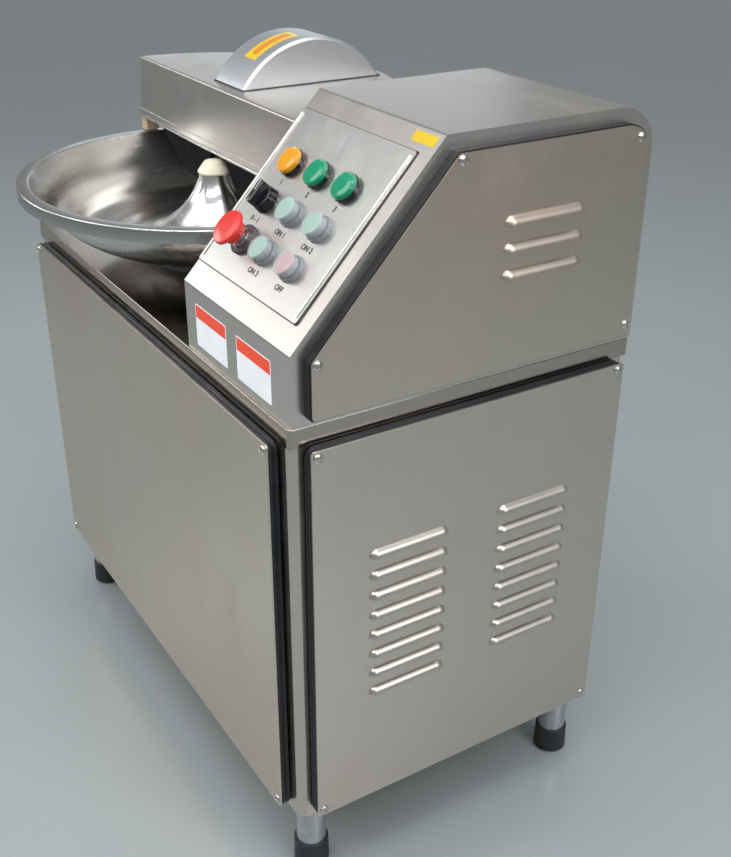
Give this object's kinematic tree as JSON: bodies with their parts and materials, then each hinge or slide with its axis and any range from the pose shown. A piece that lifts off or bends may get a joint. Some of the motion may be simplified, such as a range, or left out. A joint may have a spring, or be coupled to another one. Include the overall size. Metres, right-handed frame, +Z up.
{
  "type": "meat bowl cutter",
  "caption": "Meat bowl cutter: steel cabinet on rubber feet with a turning ring-trough bowl, sickle knives under a hinged half-round cover and a sloping control housing.",
  "frame": {"origin": "centre of the bounding box in plan, on the floor under the feet", "axes": "+Z up, +Y from the control side to the hinge side at the rear, +X along the cabinet towards the control housing"},
  "size_m": [0.8068, 0.5474, 0.906],
  "materials": {
    "satin_steel": "satin brushed",
    "panel_steel": "satin brushed",
    "polished_steel": "polished",
    "machined_steel": "turned",
    "blade_steel": "ground and polished",
    "screw_steel": "polished",
    "black_rubber": "matt",
    "black_plastic": "satin",
    "grey_plastic": "satin",
    "ivory_plastic": "semi-gloss",
    "tan_plastic": "satin",
    "yellow_lens": "moulded",
    "green_lens": "moulded",
    "clear_cap": "clear moulded boot over a pale green plunger",
    "pink_cap": "clear moulded boot over a pale red plunger",
    "red_plastic": "semi-gloss",
    "metal_collar": "plated, on a grey base",
    "cast_grey": "grey paint",
    "motor_paint": "blue-grey paint",
    "zinc_plate": "zinc plated"
  },
  "bodies": {
    "machine": {"corner_posts": "satin_steel", "frame_rails": "satin_steel", "base_tray": "satin_steel", "deck_plate": "satin_steel", "front_panel": "panel_steel", "rear_panel": "panel_steel", "left_panel": "panel_steel", "right_panel": "panel_steel", "panel_gaskets": "black_rubber", "panel_screws": "screw_steel", "leg_collars": "machined_steel", "rubber_feet": "black_rubber", "pod_shell": "satin_steel", "pod_side_panel": "panel_steel", "pod_gasket": "black_rubber", "control_plate": "satin_steel", "lamp_bezels": "black_plastic", "yellow_lens": "yellow_lens", "green_lenses": "green_lens", "button_collars": "black_plastic", "selector_base": "black_plastic", "estop_collar": "metal_collar", "bowl_bearing_housing": "cast_grey", "bearings": "machined_steel", "bowl_gearbox": "cast_grey", "bowl_motor": "motor_paint", "knife_shaft_housing": "polished_steel", "lid_rest_ring": "black_rubber", "drive_belts": "black_rubber", "main_motor": "motor_paint", "motor_fan_cover": "motor_paint", "motor_mount": "zinc_plate", "hinge_brackets": "satin_steel", "hinge_pins": "machined_steel", "switchgear_board": "zinc_plate", "contactors": "grey_plastic", "cable_gland": "black_plastic"},
    "bowl": {"bowl": "polished_steel", "bowl_spindle": "machined_steel", "bowl_nut": "ivory_plastic"},
    "knife_head": {"knives": "blade_steel", "knife_spacers": "machined_steel", "knife_shaft": "machined_steel", "knife_nut": "machined_steel", "shaft_pulley": "machined_steel"},
    "motor_rotor": {"motor_shaft": "machined_steel", "motor_pulley": "machined_steel"},
    "lid": {"lid_cover": "polished_steel", "lid_dome": "polished_steel", "knife_guards": "black_plastic", "lid_wiper_block": "tan_plastic", "lid_hinge_arms": "satin_steel"},
    "selector": {"selector_knob": "black_plastic"},
    "estop_slide": {"estop_stem": "grey_plastic"},
    "estop_turn": {"estop_head": "red_plastic"},
    "button_1": {"push_button_1": "clear_cap"},
    "button_2": {"push_button_2": "clear_cap"},
    "button_3": {"push_button_3": "clear_cap"},
    "button_4": {"push_button_4": "pink_cap"}
  },
  "joints": [
    {"name": "bowl_spin", "type": "hinge", "parent": "machine", "child": "bowl", "pos_m": [-0.135, -0.0177, 0.628], "axis": [0, 0, 1], "continuous": true},
    {"name": "knife_spin", "type": "hinge", "parent": "machine", "child": "knife_head", "pos_m": [-0.135, 0.1083, 0.7695], "axis": [1, 0, 0], "continuous": true},
    {"name": "motor_spin", "type": "hinge", "parent": "machine", "child": "motor_rotor", "pos_m": [0.228, 0.1083, 0.258], "axis": [1, 0, 0], "continuous": true},
    {"name": "lid_hinge", "type": "hinge", "parent": "machine", "child": "lid", "pos_m": [-0.135, 0.2463, 0.745], "axis": [-1, 0, 0], "range_deg": [0, 85]},
    {"name": "selector_turn", "type": "hinge", "parent": "machine", "child": "selector", "pos_m": [0.193, -0.10644, 0.79578], "axis": [0, -0.734, 0.6791], "range_deg": [-45, 45]},
    {"name": "estop_push", "type": "slide", "parent": "machine", "child": "estop_slide", "axis": [0, 0.734, -0.6791], "range_m": [0, 0.005], "stiffness_N_per_m": 2000, "springref_m": -0.001},
    {"name": "estop_twist", "type": "hinge", "parent": "estop_slide", "child": "estop_turn", "pos_m": [0.201, -0.13904, 0.76055], "axis": [0, -0.734, 0.6791], "range_deg": [0, 35]},
    {"name": "button_1_push", "type": "slide", "parent": "machine", "child": "button_1", "axis": [0, 0.734, -0.6791], "range_m": [0, 0.003], "stiffness_N_per_m": 1200, "springref_m": -0.001},
    {"name": "button_2_push", "type": "slide", "parent": "machine", "child": "button_2", "axis": [0, 0.734, -0.6791], "range_m": [0, 0.003], "stiffness_N_per_m": 1200, "springref_m": -0.001},
    {"name": "button_3_push", "type": "slide", "parent": "machine", "child": "button_3", "axis": [0, 0.734, -0.6791], "range_m": [0, 0.003], "stiffness_N_per_m": 1200, "springref_m": -0.001},
    {"name": "button_4_push", "type": "slide", "parent": "machine", "child": "button_4", "axis": [0, 0.734, -0.6791], "range_m": [0, 0.003], "stiffness_N_per_m": 1200, "springref_m": -0.001}
  ],
  "couplings": [
    {"joint": "motor_spin", "follows": "knife_spin", "ratio": 0.75}
  ]
}
